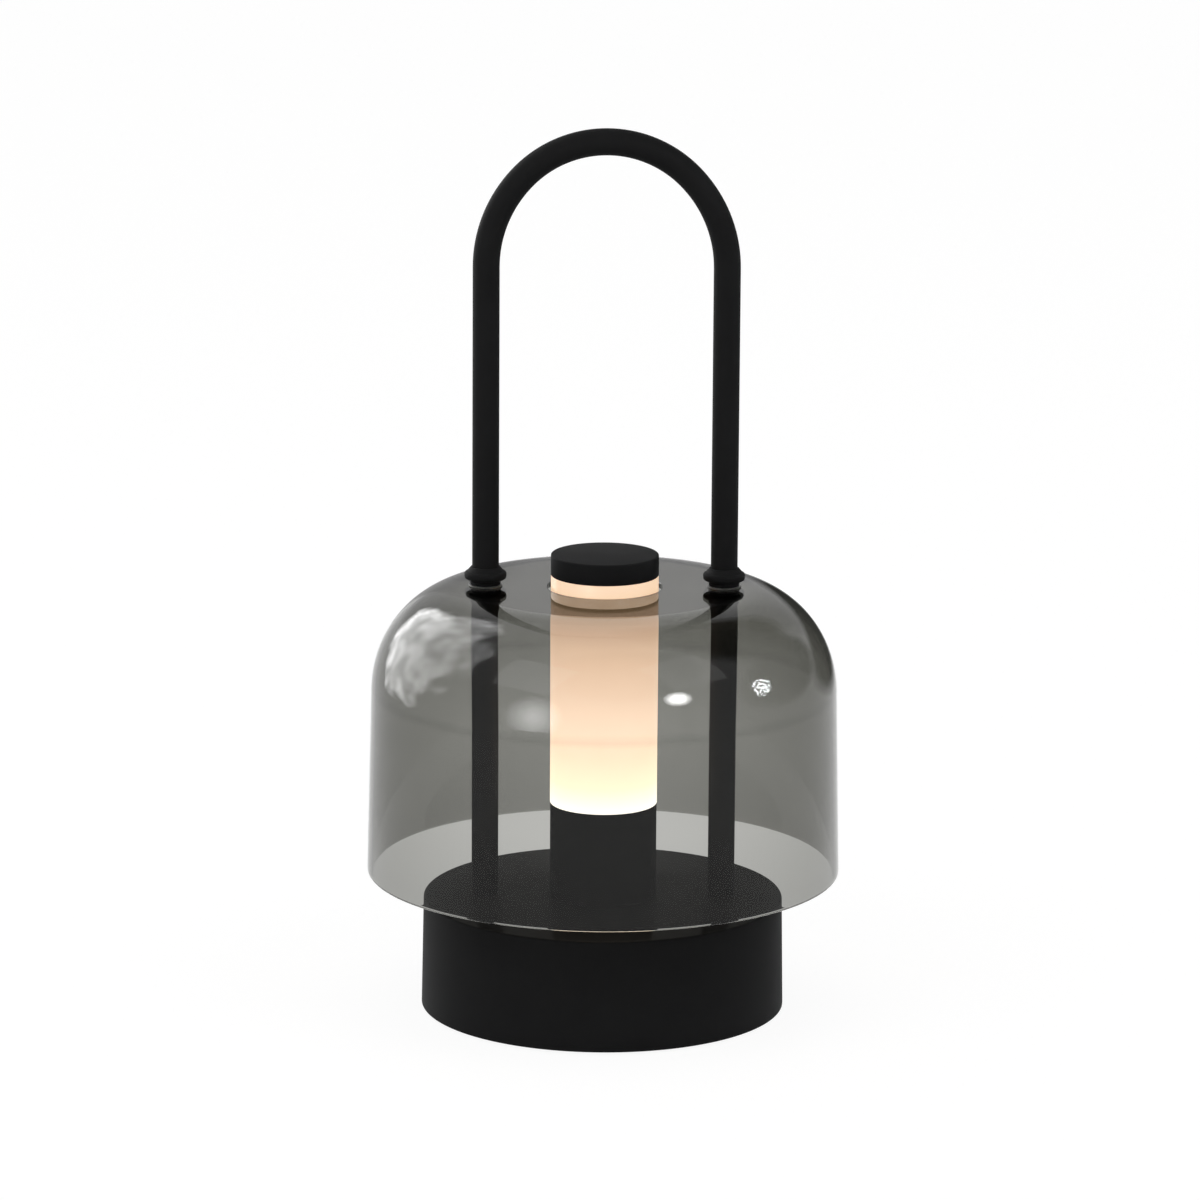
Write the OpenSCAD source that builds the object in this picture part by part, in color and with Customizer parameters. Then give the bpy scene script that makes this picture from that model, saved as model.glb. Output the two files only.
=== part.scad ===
// Lantern table lamp: a drum base, a lit column, a smoked glass bell shade and a tube handle.
// Millimetres. +Z is up, the origin is the centre of the footprint on the table, and the
// charging inlet faces +Y. The shade is held by two collars on each leg of the handle.

/* [Overall] */
// Height from the table to the top of the handle
lamp_h = 401; // [380:1:460]

/* [Base] */
// Radius of the drum at its top
base_r = 81; // [78:0.5:90]
// How much the radius grows from the top of the drum to its bottom edge
base_draft = 0.9; // [0:0.1:2]
// Height of the drum
base_h = 50.5; // [46:0.5:60]
// Thickness of the drum's side wall
base_wall = 2; // [1.5:0.1:3]
// Thickness of the drum's top
base_top_t = 3; // [2:0.1:4]
// Rounding of the drum's top edge
base_edge = 1; // [0.4:0.1:1.4]
// Thickness of the bottom plate
plate_t = 2; // [1.6:0.1:3]
// How far the bottom plate sits up inside the drum's edge
plate_recess = 0.5; // [0.2:0.1:2]
// How far the rubber feet hold the drum's edge above the table
foot_proud = 1.1; // [0.8:0.1:3]
// Radius of a rubber foot
foot_r = 7; // [5:0.5:8]
// Thickness of the steel ballast plate
ballast_t = 7; // [4:0.5:8]
// Radius of the ballast plate
ballast_r = 57; // [54:0.5:59]
// Radius of the grommet hole in the drum's top
grommet_hole_r = 6; // [5:0.5:7]

/* [Handle] */
// Radius of the handle's tube
tube_r = 6; // [5:0.5:7]
// Wall of the handle's tube
tube_wall = 1.5; // [1:0.1:2]
// Distance from the lamp's axis to the centre of each leg
leg_x = 53.4; // [50:0.2:57]
// How much higher the arch is than a half circle
arch_rise = 2.8; // [0:0.1:6]
// Radius of the stud under each leg
stud_r = 3; // [2.5:0.5:4]
// Length of the plug inside each leg
plug_h = 16; // [8:1:30]
// How far the stud reaches below the drum's top
stud_reach = 9; // [8.5:0.5:12]

/* [Shade] */
// Outer radius of the glass at its rim
shade_r = 106.5; // [98:0.5:112]
// How much narrower the glass is where its shoulder starts
shade_flare = 1.9; // [0:0.1:3]
// Thickness of the glass
glass_t = 2.5; // [2:0.1:4]
// Gap between the drum's top and the rim of the glass
rim_gap = 11.6; // [6:0.1:20]
// Height of the straight wall, from the rim to the shoulder
shade_wall_h = 83.2; // [60:0.2:95]
// Height of the rounded shoulder
shoulder_h = 47.6; // [30:0.2:52]
// Gap between the lit tube and the hole in the glass
hole_gap = 1.6; // [1:0.1:6]

/* [Collars] */
// How far a collar's flange stands out from the tube
collar_w = 3.4; // [2.6:0.1:4.5]
// Thickness of a collar's flange
collar_t = 3.6; // [2.8:0.1:4.5]
// How far a collar's neck stands out from the tube
neck_w = 0.8; // [0.8:0.1:2]
// Height of a collar's neck
neck_h = 2.4; // [1:0.1:5]
// Height of the cone on top of an upper collar's flange
collar_cone = 2; // [1:0.1:3]
// Thickness of the clear washers on both faces of the glass
washer_t = 0.8; // [0.5:0.1:1.5]
// Width of the clear washers round the tube
washer_w = 1.5; // [1.2:0.1:2]

/* [Light] */
// Radius of the black column
column_r = 24; // [23:0.2:25]
// Height of the black column
column_h = 43; // [36:0.2:60]
// Wall of the column
column_wall = 4; // [3:0.1:5]
// How much wider the opal tube is than the column, on the radius
diffuser_step = 0.1; // [0:0.05:0.4]
// Wall of the opal tube
diffuser_wall = 3; // [2:0.1:4]
// How far the opal tube stands above the glass
diffuser_show = 5.4; // [3:0.1:12]
// How much wider the cap is than the opal tube, on the radius
cap_step = 0.1; // [0:0.05:0.6]
// Height of the cap
cap_h = 9.5; // [6:0.1:14]
// Rounding of the cap's top edge
cap_edge = 0.7; // [0.3:0.1:1.5]
// Height of the cap's spigot inside the opal tube
spigot_h = 6; // [5:0.5:10]
// Thickness of the white reflector disc under the cap
reflector_t = 1; // [0.6:0.1:2]
// Height of the light carrier inside the column
carrier_h = 8; // [6:0.5:12]
// Thickness of the light board
light_board_t = 1.6; // [1:0.1:2]
// Depth of the carrier's top below the top of the column
carrier_depth = 4; // [3:0.5:6]
// Number of light chips in the ring
chip_count = 8; // [4:1:12]

/* [Back panel] */
// Height of the panel's centre above the table
port_z = 24; // [22:0.5:26]
// Width of the panel's land in the drum's wall
panel_w = 44; // [40:0.5:50]
// Height of the panel's land in the drum's wall
panel_h = 15; // [13:0.5:17]
// Thickness of the panel's flange behind the wall
panel_t = 1.6; // [1.2:0.1:2.4]
// Overlap of the panel's flange behind the wall
panel_lap = 3; // [2:0.5:4]
// Distance of the inlet and of the button from the panel's centre
port_x = 11; // [10:0.5:12]
// Radius of the power button
button_r = 4.6; // [3.5:0.1:5]
// How far the button travels
button_travel = 1.2; // [0.5:0.1:1.4]
// Outer width of the charging inlet's shell
inlet_w = 8.94; // [8.5:0.02:9.4]
// Outer height of the charging inlet's shell
inlet_h = 3.26; // [3:0.02:3.6]
// Length of the charging inlet's shell
inlet_len = 7.4; // [6.5:0.1:9]

/* [Battery and board] */
// Radius of a battery cell
cell_r = 9.2; // [7:0.1:9.5]
// Length of a battery cell
cell_len = 65; // [50:0.5:68]
// Thickness of the cradle's floor and walls
cradle_wall = 1.6; // [1.2:0.1:2]
// Thickness of the control board
board_t = 1.6; // [1:0.1:2]
// Width of the control board
board_w = 56; // [52:0.5:58]
// Depth of the control board, front to back
board_d = 34; // [32:0.5:36]
// Radius of the lead from the board to the light
light_lead_r = 2; // [1.2:0.1:2.2]
// Radius of the lead from the battery to the board
battery_lead_r = 1.4; // [1:0.1:1.8]

/* [Fasteners] */
// Radius of the small screws' shanks
screw_r = 1.45; // [1.2:0.05:1.5]
// Radius of the small screws' heads
screw_head_r = 2.8; // [2.4:0.1:3]
// Height of the small screws' heads
screw_head_h = 1.6; // [1.2:0.1:2]
// Radius of the collars' set screws
set_screw_r = 1; // [0.8:0.1:1.2]

/* [Clearances] */
// Gap between parts that are fitted by hand
fit_gap = 0.1; // [0.05:0.01:0.2]
// Gap round parts that move or are sprung in
free_gap = 0.3; // [0.2:0.05:0.4]
// Gap round a shaft that slides in its bore
slide_gap = 0.08; // [0.05:0.01:0.1]

/* [Hidden] */

$fn = 96;
cut = 1;                                    // how far a cutting tool runs past a face
black = "#1d1e1f";
steel = "#a9adb0";

// Heights of the base
edge_z = foot_proud;                        // bottom edge of the drum
base_z = edge_z + base_h;                   // top of the drum
ceiling_z = base_z - base_top_t;            // underside of the drum's top
plate_z = edge_z + plate_recess;            // underside of the bottom plate
floor_z = plate_z + plate_t;                // top of the bottom plate
base_inner_r = base_r - base_wall;          // inside of the drum at its top
plate_r = base_inner_r - free_gap;          // bottom plate
low_edge = 0.4;                             // chamfer of the drum's bottom edge
wall_reach = 10;                            // how far a cut reaches past the drum's wall

// Heights of the shade
rim_z = base_z + rim_gap;
shoulder_z = rim_z + shade_wall_h;
shade_z = shoulder_z + shoulder_h;          // flat top of the glass
shade_wall_r = shade_r - shade_flare;
washer_r = tube_r + fit_gap + washer_w;
flat_r = leg_x + washer_r;                  // the flat top just carries the washers
leg_hole_r = tube_r + 4 * fit_gap;          // holes in the glass for the legs
collar_r = tube_r + collar_w;
neck_r = tube_r + neck_w;
neck_edge = 0.3;                            // chamfer of a collar's neck
cone_lip = 0.6;                             // how far a collar's cone stands out at its end
set_screw_sunk = 0.4;                       // how far a set screw sits under the flange's rim
arch_z = lamp_h - leg_x - arch_rise - tube_r;   // where the straight legs end
haunch_shift = arch_rise / (2 - sqrt(2));   // the haunches' centres lie this far past the axis
haunch_r = leg_x + haunch_shift;            // bend radius of the haunches
crown_r = haunch_r - haunch_shift * sqrt(2);    // bend radius of the crown

// Heights of the light
column_z = base_z + column_h;               // top of the column
diffuser_r = column_r + diffuser_step;
diffuser_in = diffuser_r - diffuser_wall;
diffuser_z = shade_z + diffuser_show;       // top of the opal tube
shade_hole_r = diffuser_r + hole_gap;       // hole in the glass round the opal tube
cap_r = diffuser_r + cap_step;
carrier_z = column_z - carrier_depth;       // top of the light carrier
carrier_low = carrier_z - carrier_h;
carrier_r = column_r - column_wall / 2 - fit_gap;
column_floor = column_wall - 1;             // thickness of the column's closed foot
ring_t = 2;                                 // wall of the locating ring
ring_rise = 5;                              // how far that ring reaches up into the opal tube
light_board_r = diffuser_in - fit_gap - ring_t - fit_gap;
chip_r = light_board_r - 5;                 // circle of light chips
chip_size = 3;
chip_h = 0.7;
spigot_r = diffuser_in - fit_gap;
groove_w = 2;                               // groove in the spigot for the rubber ring
groove_d = 1.6;
cap_low_edge = 0.3;                         // chamfer of the cap's lower edge
cap_ring_r = groove_d / 2;                  // thickness of the rubber ring, on the radius
reflector_in = 0.5;                         // how much narrower the reflector is than the spigot

// Fastener places
boss_r = 4;                                 // radius of the posts that the bottom plate is screwed to
boss_circle = base_inner_r - 10;            // circle of the posts
plate_screw_len = 9;
foot_circle = base_inner_r - foot_r - 3;    // circle of the feet
peg_r = 3;                                  // peg of a foot in the bottom plate
foot_edge = 0.5;                            // chamfer of a foot
ballast_hole_r = 8;                         // hole in the middle of the ballast
ballast_circle = 42;                        // circle of the ballast screws
ballast_screw_len = 6;
column_circle = column_r - column_wall - 5; // circle of the screws under the column
column_screw_len = base_top_t + column_floor - 0.4;
lead_straight = 10;                         // straight length of the lead above the grommet
nut_r = 1.92 * stud_r;                      // a hexagon nut's corner radius
nut_h = 1.5 * stud_r;
leg_washer_r = 2.2 * stud_r;
leg_washer_t = 1;
bore_r = tube_r - tube_wall;                // bore of the handle's tube
grommet_lip = 2;
column_hole_r = grommet_hole_r - 1;         // lead hole in the column's foot

// Port panel, inlet and button
panel_out_r = base_r + 0.3;                 // the land lies just under the drum's face
panel_in_r = base_inner_r - 0.2;            // outside of the flange, against the drum's wall
panel_back_r = panel_in_r - panel_t;
board_z = port_z - inlet_h / 2;             // top of the control board
inlet_sunk = 0.7;                           // how far the inlet sits behind the panel's face
inlet_y = sqrt(pow(panel_out_r, 2) - pow(port_x, 2)) - inlet_sunk;
inlet_wall = 0.3;
inlet_back = 1;                             // thickness of the inlet's closed back
tongue_w = 6.6;
tongue_t = 0.7;
button_flange_t = 1;
button_lap = 1.4;                           // how far the button's flange stands out
button_flange_r = button_r + button_lap;
button_edge = 0.5;                          // rounding of the button's face
boss_out_r = button_flange_r + button_lap;  // boss behind the panel that the flange stops on
boss_back_y = sqrt(pow(panel_back_r, 2) - pow(port_x + boss_out_r, 2)) - fit_gap;
button_back_y = boss_back_y - free_gap - button_flange_t;
button_face_y = sqrt(pow(base_r + base_draft / 2, 2) - pow(port_x, 2)) + button_travel + fit_gap;
plunger_r = 1.3;
board_back_y = base_inner_r - 8;            // back edge of the control board
board_front_y = board_back_y - board_d;
board_tab_w = 14;                           // the part of the board under the inlet
board_tab_y = sqrt(pow(panel_back_r, 2) - pow(port_x + board_tab_w / 2, 2)) - free_gap;
ballast_flat_y = board_front_y - 6;         // the ballast stops here to leave room for the board
switch_w = 8;
switch_d = 6;
switch_h = 5.2;
plunger_in = button_travel + 1;             // how deep the plunger sits in its switch

// Battery
cradle_z = floor_z + ballast_t;
cell_pitch = 2 * cell_r + 1;
cell_z = cradle_z + cradle_wall + cell_r;
cell_y = [-cell_r - 5.5, -cell_r - 5.5 - cell_pitch];
cradle_y = (cell_y[0] + cell_y[1]) / 2;
tab_t = 0.3;
tab_h = 8;                                  // height of the tabs across the cells' ends
cradle_len = cell_len + 2 * tab_t + 2 * cradle_wall;
cradle_wide = cell_pitch + 2 * cell_r + 2 * cradle_wall + 2 * fit_gap;

// Board
standoff_r = 2.9;
standoff_in = 4;                            // distance of a standoff from the board's edges
standoff_x = board_w / 2 - standoff_in;
standoff_y = [board_front_y + standoff_in, board_back_y - standoff_in];
standoff_h = board_z - board_t - floor_z;
thread_len = 5;                             // how far a board screw reaches into its standoff
chip_side = 6;
capacitor_r = 3;
coil_r = 4;
socket_x = 12;
socket_size = [8, 6, 5];
socket_pin_z = board_z + 2.5;               // height at which a lead enters its socket
lead_stub = 2;                              // straight end of a lead at its socket
lead_bow = 16;                              // how strongly a lead runs on before it turns
cell_lead_drop = 4;                         // the battery lead leaves this far under a cell's axis

function arc_points(c, rx, ry, from, to, steps) =
    [for (i = [0:steps]) let (a = from + (to - from) * i / steps) c + [rx * cos(a), ry * sin(a)]];

function bezier(a, b, c, d, steps) =
    [for (i = [0:steps]) let (t = i / steps, s = 1 - t)
        s * s * s * a + 3 * s * s * t * b + 3 * s * t * t * c + t * t * t * d];

function unit(v) = v / norm(v);

// A slot outline with round ends, centred
module stadium(w, h) {
    square([w - h, h], center = true);
    for (side = [-1, 1])
        translate([side * (w - h) / 2, 0])
            circle(d = h);
}

// A stadium pushed along +Y from the XZ plane
module stadium_bar(w, h, y0, y1) {
    translate([0, y0, 0])
        rotate([-90, 0, 0])
            linear_extrude(y1 - y0)
                stadium(w, h);
}

// A straight tube along Z
module ring(r_out, r_in, h) {
    difference() {
        cylinder(r = r_out, h = h);
        translate([0, 0, -cut])
            cylinder(r = r_in, h = h + 2 * cut);
    }
}

// A copy of the children at each leg of the handle
module at_legs() {
    for (side = [-1, 1])
        translate([side * leg_x, 0, 0])
            children();
}

// Copies of the children round the axis
module around(count, r, start = 0) {
    for (i = [0:count - 1])
        rotate([0, 0, start + 360 * i / count])
            translate([r, 0, 0])
                children();
}

// A countersunk screw that points up, its head face at z = 0
module flat_screw(len) {
    cylinder(r = screw_r, h = len);
    cylinder(r1 = screw_head_r, r2 = screw_r, h = screw_head_r - screw_r);
}

// The countersunk hole for that screw, through a sheet of thickness t
module flat_screw_hole(t) {
    translate([0, 0, -cut])
        cylinder(r = screw_r + 2 * fit_gap, h = t + 2 * cut);
    translate([0, 0, -cut])
        cylinder(r1 = screw_head_r + fit_gap + cut, r2 = screw_r + fit_gap,
                 h = screw_head_r - screw_r + cut);
}

// A round lead swept along points, with eight sides; side is square to the lead's plane
module lead(points, r, side) {
    n = len(points);
    sides = 8;
    rings = [for (i = [0:n - 1])
        let (t = unit(points[min(i + 1, n - 1)] - points[max(i - 1, 0)]),
             u = unit(cross(t, side)),
             v = cross(t, u))
        for (k = [0:sides - 1])
            points[i] + r * cos(360 * k / sides) * u + r * sin(360 * k / sides) * v];
    quads = [for (i = [0:n - 2]) for (k = [0:sides - 1])
        let (a = i * sides + k, b = i * sides + (k + 1) % sides)
        each [[a, a + sides, b], [b, a + sides, b + sides]]];
    caps = [for (k = [1:sides - 2])
        each [[0, k, k + 1], [(n - 1) * sides, (n - 1) * sides + k + 1, (n - 1) * sides + k]]];
    polyhedron(points = rings, faces = concat(quads, caps));
}

// ---------- base ----------

// The drum: one deep-drawn cup, open below, with posts for the bottom plate
module base_shell() {
    color(black)
    difference() {
        union() {
            rotate_extrude()
                polygon(concat(
                    [[0, base_z]],
                    [[0, ceiling_z], [base_inner_r, ceiling_z]],
                    [[base_inner_r + base_draft, edge_z]],
                    [[base_r + base_draft - low_edge, edge_z]],
                    [[base_r + base_draft, edge_z + low_edge]],
                    arc_points([base_r - base_edge, base_z - base_edge],
                               base_edge, base_edge, 0, 90, 5)));
            around(4, boss_circle, 45)
                translate([0, 0, floor_z])
                    cylinder(r = boss_r, h = ceiling_z - floor_z + cut);
        }
        around(4, boss_circle, 45)
            translate([0, 0, floor_z - cut])
                cylinder(r = screw_r + fit_gap, h = plate_screw_len + cut);
        at_legs()
            translate([0, 0, ceiling_z - cut])
                cylinder(r = stud_r + 2 * fit_gap, h = base_top_t + 2 * cut);
        around(3, column_circle, 90)
            translate([0, 0, ceiling_z - cut])
                cylinder(r = screw_r + 2 * fit_gap, h = base_top_t + 2 * cut);
        translate([0, 0, ceiling_z - cut])
            cylinder(r = grommet_hole_r, h = base_top_t + 2 * cut);
        translate([0, 0, port_z])
            stadium_bar(panel_w + 2 * free_gap, panel_h + 2 * free_gap,
                        base_inner_r - wall_reach, base_r + wall_reach);
    }
}

module bottom_plate() {
    color("#2a2b2c")
    translate([0, 0, plate_z])
        difference() {
            cylinder(r = plate_r, h = plate_t);
            around(4, boss_circle, 45)
                flat_screw_hole(plate_t);
            around(3, ballast_circle, 30)
                flat_screw_hole(plate_t);
            around(4, foot_circle)
                translate([0, 0, -cut])
                    cylinder(r = peg_r, h = plate_t + 2 * cut);
        }
}

module plate_screws() {
    color(steel)
    around(4, boss_circle, 45)
        translate([0, 0, plate_z])
            flat_screw(plate_t + plate_screw_len - 1);
}

module rubber_feet() {
    color("#18181a")
    around(4, foot_circle)
        rotate_extrude()
            polygon([[0, 0], [foot_r - foot_edge, 0], [foot_r, foot_edge], [foot_r, plate_z],
                     [peg_r, plate_z], [peg_r, floor_z], [0, floor_z]]);
}

module ballast_plate() {
    color("#5b5f63")
    translate([0, 0, floor_z])
        difference() {
            cylinder(r = ballast_r, h = ballast_t);
            translate([-ballast_r - cut, ballast_flat_y, -cut])
                cube([2 * (ballast_r + cut), ballast_r, ballast_t + 2 * cut]);
            translate([0, 0, -cut])
                cylinder(r = ballast_hole_r, h = ballast_t + 2 * cut);
            around(3, ballast_circle, 30)
                translate([0, 0, -cut])
                    cylinder(r = screw_r + fit_gap, h = ballast_screw_len + cut);
        }
}

module ballast_screws() {
    color(steel)
    around(3, ballast_circle, 30)
        translate([0, 0, plate_z])
            flat_screw(plate_t + ballast_screw_len - 1);
}

module grommet() {
    color("#101011")
    difference() {
        union() {
            translate([0, 0, ceiling_z - grommet_lip])
                cylinder(r = grommet_hole_r + grommet_lip, h = grommet_lip);
            translate([0, 0, ceiling_z - cut])
                cylinder(r = grommet_hole_r, h = base_top_t + cut);
        }
        translate([0, 0, ceiling_z - grommet_lip - cut])
            cylinder(r = light_lead_r + fit_gap, h = base_top_t + grommet_lip + 2 * cut);
    }
}

// ---------- handle ----------

// A round bar bent to a radius, from one angle over the next degrees
module bent_bar(r, bend_r, from, angle) {
    rotate([0, 0, from])
        rotate_extrude(angle = angle)
            translate([bend_r, 0])
                circle(r = r);
}

// The handle's centre line, at any radius: the arch is a crown between two wider haunches
module handle_bar(r, low_z) {
    translate([0, 0, arch_z])
        rotate([90, 0, 0]) {
            for (side = [0, 1])
                mirror([side, 0, 0])
                    translate([-haunch_shift, 0, 0])
                        bent_bar(r, haunch_r, 0, 45);
            translate([0, haunch_shift, 0])
                bent_bar(r, crown_r, 45, 90);
        }
    at_legs()
        translate([0, 0, low_z])
            cylinder(r = r, h = arch_z - low_z);
}

module handle_tube() {
    color(black)
    difference() {
        handle_bar(tube_r, base_z);
        handle_bar(bore_r, base_z - cut);
    }
}

// Plugs pressed into the feet of the legs, each with a stud through the drum's top
module leg_plugs() {
    color(steel)
    at_legs() {
        translate([0, 0, base_z])
            cylinder(r = bore_r - fit_gap / 2, h = plug_h);
        translate([0, 0, ceiling_z - stud_reach])
            cylinder(r = stud_r, h = base_top_t + stud_reach + cut);
    }
}

module leg_washers() {
    color(steel)
    at_legs()
        translate([0, 0, ceiling_z - leg_washer_t])
            ring(leg_washer_r, stud_r + fit_gap, leg_washer_t);
}

module leg_nuts() {
    color(steel)
    at_legs()
        translate([0, 0, ceiling_z - leg_washer_t - nut_h])
            difference() {
                cylinder(r = nut_r, h = nut_h, $fn = 6);
                translate([0, 0, -cut])
                    cylinder(r = stud_r + fit_gap / 2, h = nut_h + 2 * cut);
            }
}

// ---------- collars that hold the glass ----------

// A collar whose flange stands on z = 0, with its neck above and maybe a cone below
module collar(cone) {
    edge = collar_t / 3;
    bore = tube_r + fit_gap / 2;
    rotate_extrude()
        polygon(concat(
            cone > 0 ? [[bore, -cone], [tube_r + cone_lip, -cone]] : [[bore, 0]],
            arc_points([collar_r - edge, edge], edge, edge, -90, 0, 5),
            arc_points([collar_r - edge, collar_t - edge], edge, edge, 0, 90, 5),
            [[neck_r, collar_t], [neck_r, collar_t + neck_h - neck_edge]],
            [[neck_r - neck_edge, collar_t + neck_h], [bore, collar_t + neck_h]]));
}

// The radial hole of a set screw, on the back of a collar's flange
module set_screw_bar(r, from, to) {
    translate([0, from, collar_t / 2])
        rotate([-90, 0, 0])
            cylinder(r = r, h = to - from);
}

module drilled_collar(cone = 0) {
    difference() {
        collar(cone);
        set_screw_bar(set_screw_r + fit_gap / 2, tube_r - cut, collar_r + cut);
    }
}

module set_screw() {
    set_screw_bar(set_screw_r, tube_r + fit_gap, collar_r - set_screw_sunk);
}

// The upper collars stand on their necks, and the lower ones hold their flanges to the glass
module at_upper_collars() {
    at_legs()
        translate([0, 0, shade_z + washer_t + neck_h + collar_t])
            mirror([0, 0, 1])
                children();
}

module at_lower_collars() {
    at_legs()
        translate([0, 0, shade_z - glass_t - washer_t])
            mirror([0, 0, 1])
                children();
}

module upper_collars() {
    color(black)
    at_upper_collars()
        drilled_collar(collar_cone);
}

module lower_collars() {
    color(black)
    at_lower_collars()
        drilled_collar();
}

module collar_screws() {
    color(steel) {
        at_upper_collars()
            set_screw();
        at_lower_collars()
            set_screw();
    }
}

module upper_washers() {
    color("#d8d8d2")
    at_legs()
        translate([0, 0, shade_z])
            ring(washer_r, tube_r + fit_gap / 2, washer_t);
}

module lower_washers() {
    color("#d8d8d2")
    at_legs()
        translate([0, 0, shade_z - glass_t - washer_t])
            ring(washer_r, tube_r + fit_gap / 2, washer_t);
}

// ---------- shade ----------

// The bell of smoked glass: rounded rim, straight wall, round shoulder, flat top
module glass_shade() {
    rim = glass_t / 2;
    lip = 0.4;
    color([0.36, 0.36, 0.34, 0.5])
    difference() {
        rotate_extrude()
            polygon(concat(
                arc_points([shade_r - rim, rim_z + rim], rim, rim, 0, -180, 8),
                arc_points([flat_r, shoulder_z], shade_wall_r - glass_t - flat_r,
                           shoulder_h - glass_t, 0, 90, 18),
                [[shade_hole_r + lip, shade_z - glass_t], [shade_hole_r, shade_z - glass_t + lip]],
                [[shade_hole_r, shade_z - lip], [shade_hole_r + lip, shade_z]],
                arc_points([flat_r, shoulder_z], shade_wall_r - flat_r, shoulder_h, 90, 0, 18)));
        at_legs()
            translate([0, 0, shade_z - glass_t - cut])
                cylinder(r = leg_hole_r, h = glass_t + 2 * cut);
    }
}

// ---------- light ----------

// The black column: a turned tube with a closed foot and a ledge for the light carrier
module column() {
    color(black)
    difference() {
        translate([0, 0, base_z])
            cylinder(r = column_r, h = column_h);
        translate([0, 0, base_z + column_floor])
            cylinder(r = column_r - column_wall, h = column_h);
        translate([0, 0, carrier_low])
            cylinder(r = carrier_r + fit_gap, h = column_h);
        translate([0, 0, base_z - cut])
            cylinder(r = column_hole_r, h = column_floor + 2 * cut);
        around(3, column_circle, 90)
            translate([0, 0, base_z - cut])
                cylinder(r = screw_r + fit_gap / 2, h = column_floor + 2 * cut);
    }
}

module column_screws() {
    color(steel)
    around(3, column_circle, 90) {
        translate([0, 0, ceiling_z - screw_head_h])
            cylinder(r = screw_head_r, h = screw_head_h);
        translate([0, 0, ceiling_z - cut])
            cylinder(r = screw_r, h = column_screw_len + cut);
    }
}

module light_carrier() {
    color("#b9bcbf")
    translate([0, 0, carrier_low])
        ring(carrier_r, light_lead_r + 1, carrier_h);
}

module light_board() {
    color("#f0f0ea")
    translate([0, 0, carrier_z])
        cylinder(r = light_board_r, h = light_board_t);
}

module light_chips() {
    color("#f6e6a8")
    around(chip_count, chip_r)
        translate([-chip_size / 2, -chip_size / 2, carrier_z + light_board_t])
            cube([chip_size, chip_size, chip_h]);
}

// The ring that centres the opal tube on the column
module locating_ring() {
    color("#e9e7e0")
    difference() {
        union() {
            translate([0, 0, carrier_z])
                cylinder(r = carrier_r, h = column_z - carrier_z);
            translate([0, 0, column_z - cut])
                cylinder(r = diffuser_in - fit_gap, h = ring_rise + cut);
        }
        translate([0, 0, carrier_z - cut])
            cylinder(r = light_board_r + fit_gap, h = column_z - carrier_z + ring_rise + 2 * cut);
    }
}

module diffuser() {
    color("#ffe7c2")
    translate([0, 0, column_z])
        ring(diffuser_r, diffuser_in, diffuser_z - column_z);
}

// The cap: a turned disc with a grooved spigot inside the opal tube
module cap() {
    groove_z = diffuser_z - spigot_h / 2;
    color(black)
    rotate_extrude()
        polygon(concat(
            [[0, diffuser_z - spigot_h], [spigot_r, diffuser_z - spigot_h]],
            [for (side = [-1, 1]) each
                [[spigot_r - (side + 1) / 2 * groove_d, groove_z + side * groove_w / 2],
                 [spigot_r + (side - 1) / 2 * groove_d, groove_z + side * groove_w / 2]]],
            [[spigot_r, diffuser_z], [cap_r - cap_low_edge, diffuser_z]],
            [[cap_r, diffuser_z + cap_low_edge]],
            arc_points([cap_r - cap_edge, diffuser_z + cap_h - cap_edge],
                       cap_edge, cap_edge, 0, 90, 5),
            [[0, diffuser_z + cap_h]]));
}

module cap_ring() {
    color("#101011")
    translate([0, 0, diffuser_z - spigot_h / 2])
        rotate_extrude()
            translate([spigot_r - groove_d / 2 + slide_gap / 4, 0])
                circle(r = cap_ring_r);
}

module reflector_disc() {
    color("#f4f3ee")
    translate([0, 0, diffuser_z - spigot_h - reflector_t])
        cylinder(r = spigot_r - reflector_in, h = reflector_t);
}

// ---------- back panel, inlet and button ----------

// A piece of a tube wall behind the back of the drum, cut to a stadium
module curved_stadium(w, h, r_in, r_out) {
    intersection() {
        translate([0, 0, port_z - h])
            ring(r_out, r_in, 2 * h);
        translate([0, 0, port_z])
            stadium_bar(w, h, 0, r_out + cut);
    }
}

module port_panel() {
    color("#161617")
    difference() {
        union() {
            curved_stadium(panel_w + 2 * panel_lap, panel_h + 2 * panel_lap,
                           panel_back_r, panel_in_r);
            curved_stadium(panel_w, panel_h, panel_back_r, panel_out_r);
            translate([port_x, boss_back_y, port_z])
                rotate([-90, 0, 0])
                    cylinder(r = boss_out_r, h = panel_back_r - boss_back_y);
        }
        translate([port_x, boss_back_y - cut, port_z])
            rotate([-90, 0, 0])
                cylinder(r = button_r + free_gap, h = base_r);
        translate([-port_x, 0, port_z])
            stadium_bar(inlet_w + 2 * fit_gap, inlet_h + 2 * fit_gap,
                        panel_back_r - 2 * wall_reach, base_r + wall_reach);
    }
}

module inlet_shell() {
    color("#c4c7c9")
    translate([-port_x, 0, port_z])
        difference() {
            stadium_bar(inlet_w, inlet_h, inlet_y - inlet_len, inlet_y);
            stadium_bar(inlet_w - 2 * inlet_wall, inlet_h - 2 * inlet_wall,
                        inlet_y - inlet_len + inlet_back, inlet_y + cut);
        }
}

module inlet_tongue() {
    color("#1a1a1c")
    translate([-port_x - tongue_w / 2, inlet_y - inlet_len + inlet_back, port_z - tongue_t / 2])
        cube([tongue_w, inlet_len - 2 * inlet_back, tongue_t]);
}

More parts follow.
